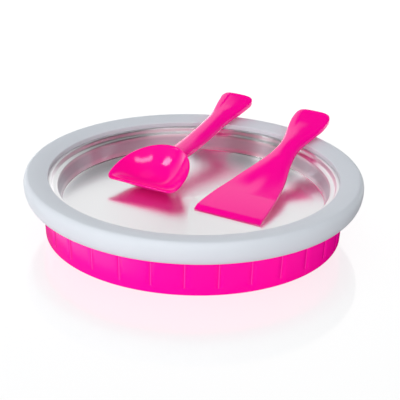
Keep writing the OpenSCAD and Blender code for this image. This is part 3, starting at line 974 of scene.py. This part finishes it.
def floor_white():
    """White acrylic. It bounces light as white paper does. The camera sees it raised to white,
    with a faint mirror image and shadow. Shiny surfaces see painted light on it instead: a
    glow at the left and behind the object, and painted shade close to it."""
    mat, tree, seen = new_material("floor_white")
    seen.inputs["Base Color"].default_value = (0.14, 0.14, 0.14, 1)
    seen.inputs["Roughness"].default_value = 0.07
    seen.inputs["Specular IOR Level"].default_value = 1.0
    seen.inputs["Emission Color"].default_value = (1, 1, 1, 1)
    seen.inputs["Emission Strength"].default_value = FLOOR_GLOW
    bounce = add(tree, "ShaderNodeBsdfDiffuse", Color=(0.85, 0.85, 0.85, 1))
    coord = add(tree, "ShaderNodeTexCoord")
    x, y = split_axes(tree, coord.outputs["Object"])[:2]
    radius = vector_length(tree, coord.outputs["Object"])
    left = fade(tree, maths(tree, "DIVIDE", x, radius), *FLOOR_LEFT)
    behind = fade(tree, y, *FLOOR_BEHIND)
    painted_glow_strength = product(tree, maths(tree, "MAXIMUM", left, behind), fade(tree, radius, *FLOOR_NEAR_SHADE))
    # Painted light for shiny surfaces: the floor glows at the left and behind the object, with
    # painted shade close to it.
    painted_floor_glow = add(tree, "ShaderNodeEmission")
    tree.links.new(painted_glow_strength, painted_floor_glow.inputs["Strength"])
    whole = by_ray(tree, bounce, painted_floor_glow, seen)
    tree.links.new(whole, tree.nodes["Material Output"].inputs["Surface"])
    return mat


def make_floor():
    """A flat square at height 0, not attached to any of the object's bodies."""
    mesh = bpy.data.meshes.new("floor")
    corners = [(x * FLOOR_HALF, y * FLOOR_HALF, 0) for x, y in ((-1, -1), (1, -1), (1, 1), (-1, 1))]
    mesh.from_pydata(corners, [], [[0, 1, 2, 3]])
    floor = bpy.data.objects.new("floor", mesh)
    bpy.context.scene.collection.objects.link(floor)
    mesh.materials.append(floor_white())


def make_world():
    """White for the camera. Diffuse light is bluish, and weaker low down and at the right. Shiny
    surfaces see a white sheet behind the object, up to about 45 degrees, brightest at the horizon
    and faint at the right. They see a glow low in front, a faint one overhead and at some height
    in front, and a dark room elsewhere."""
    world = bpy.data.worlds.new("studio")
    bpy.context.scene.world = world
    world.use_nodes = True
    tree = world.node_tree
    tree.nodes.clear()
    out = add(tree, "ShaderNodeOutputWorld")
    camera = add(tree, "ShaderNodeBackground", Color=(1, 1, 1, 1))
    diffuse = add(tree, "ShaderNodeBackground", Color=(0.95, 0.975, 1.0, 1))
    glossy = add(tree, "ShaderNodeBackground", Color=(0.8, 0.8, 0.8, 1))
    path = add(tree, "ShaderNodeLightPath")
    coord = add(tree, "ShaderNodeTexCoord")
    x, y, z = split_axes(tree, coord.outputs["Generated"])
    sky = product(tree, fade(tree, z, *SKY_UP), fade(tree, x, *SKY_RIGHT))
    tree.links.new(sky, diffuse.inputs["Strength"])
    height = maths(tree, "ADD", fade(tree, z, *SHEET_UP), fade(tree, z, *HORIZON_UP))
    back = fade(tree, y, *SHEET_BACK)
    sheet = product(tree, height, back, fade(tree, x, *SHEET_RIGHT), SHEET_GLOW)
    front = product(tree, fade(tree, y, *FRONT_BACK), fade(tree, z, *FRONT_UP), FRONT_GLOW)
    around = maths(tree, "ADD", sheet, front)
    ceiling = fade(tree, z, *CEILING_UP)
    room = fade(tree, path.outputs["Glossy Depth"], *ROOM)
    elsewhere = maths(tree, "ADD", ceiling, room)
    tree.links.new(maths(tree, "ADD", around, elsewhere), glossy.inputs["Strength"])
    tree.links.new(by_ray(tree, diffuse, glossy, camera), out.inputs["Surface"])


def area_light(name, azimuth, elevation, distance, size, radiance, glossy=True, diffuse=True):
    """A soft panel aimed at the pan. Azimuth 0 lies behind the object, 90 at its right. Keys
    light diffuse surfaces only, and panels show in shiny ones only."""
    aim = Vector((0, 0, 0.04))
    a, e = math.radians(azimuth), math.radians(elevation)
    data = bpy.data.lights.new(name, "AREA")
    data.shape = "RECTANGLE"
    data.size, data.size_y = size
    data.energy = radiance * math.pi * size[0] * size[1]
    lamp = bpy.data.objects.new(name, data)
    bpy.context.scene.collection.objects.link(lamp)
    place = Vector((math.sin(a) * math.cos(e), math.cos(a) * math.cos(e), math.sin(e))) * distance
    lamp.location = place + aim
    lamp.rotation_euler = (-place).to_track_quat("-Z", "Y").to_euler()
    lamp.visible_glossy = glossy
    lamp.visible_diffuse = diffuse


def make_camera():
    """A camera in front of the object, turned by pitch, yaw and roll."""
    distance, elevation = 1.1205, math.radians(25.08)
    pitch, yaw, roll = (math.radians(a) for a in (23.79, 0.335, 1.49))
    forward = Vector((math.sin(yaw) * math.cos(pitch), math.cos(yaw) * math.cos(pitch),
                      -math.sin(pitch)))
    level = forward.cross(Vector((0, 0, 1))).normalized()
    upright = level.cross(forward)
    right = math.cos(roll) * level + math.sin(roll) * upright
    up = -math.sin(roll) * level + math.cos(roll) * upright
    data = bpy.data.cameras.new("camera")
    data.lens = LENS_MM
    data.sensor_width = SENSOR_MM
    data.clip_start = 0.05
    camera = bpy.data.objects.new("camera", data)
    bpy.context.scene.collection.objects.link(camera)
    place = Vector((0, -distance * math.cos(elevation), distance * math.sin(elevation)))
    axes = Matrix((right, up, -forward)).transposed().to_4x4()
    camera.matrix_world = Matrix.Translation(place) @ axes
    bpy.context.scene.camera = camera


make_floor()
make_world()
make_camera()
area_light("front_key", azimuth=-175, elevation=13, distance=1.6, size=(0.8, 0.6), radiance=6.2,
           glossy=False)
area_light("left_key", azimuth=-110, elevation=18, distance=1.5, size=(0.6, 0.5), radiance=4.0,
           glossy=False)
area_light("front_panel", azimuth=165, elevation=45, distance=1.3, size=(1.1, 0.2), radiance=6.8,
           diffuse=False)
area_light("left_panel", azimuth=-110, elevation=35, distance=1.3, size=(0.16, 0.28),
           radiance=10.0, diffuse=False)

bpy.context.scene.view_settings.view_transform = "Standard"
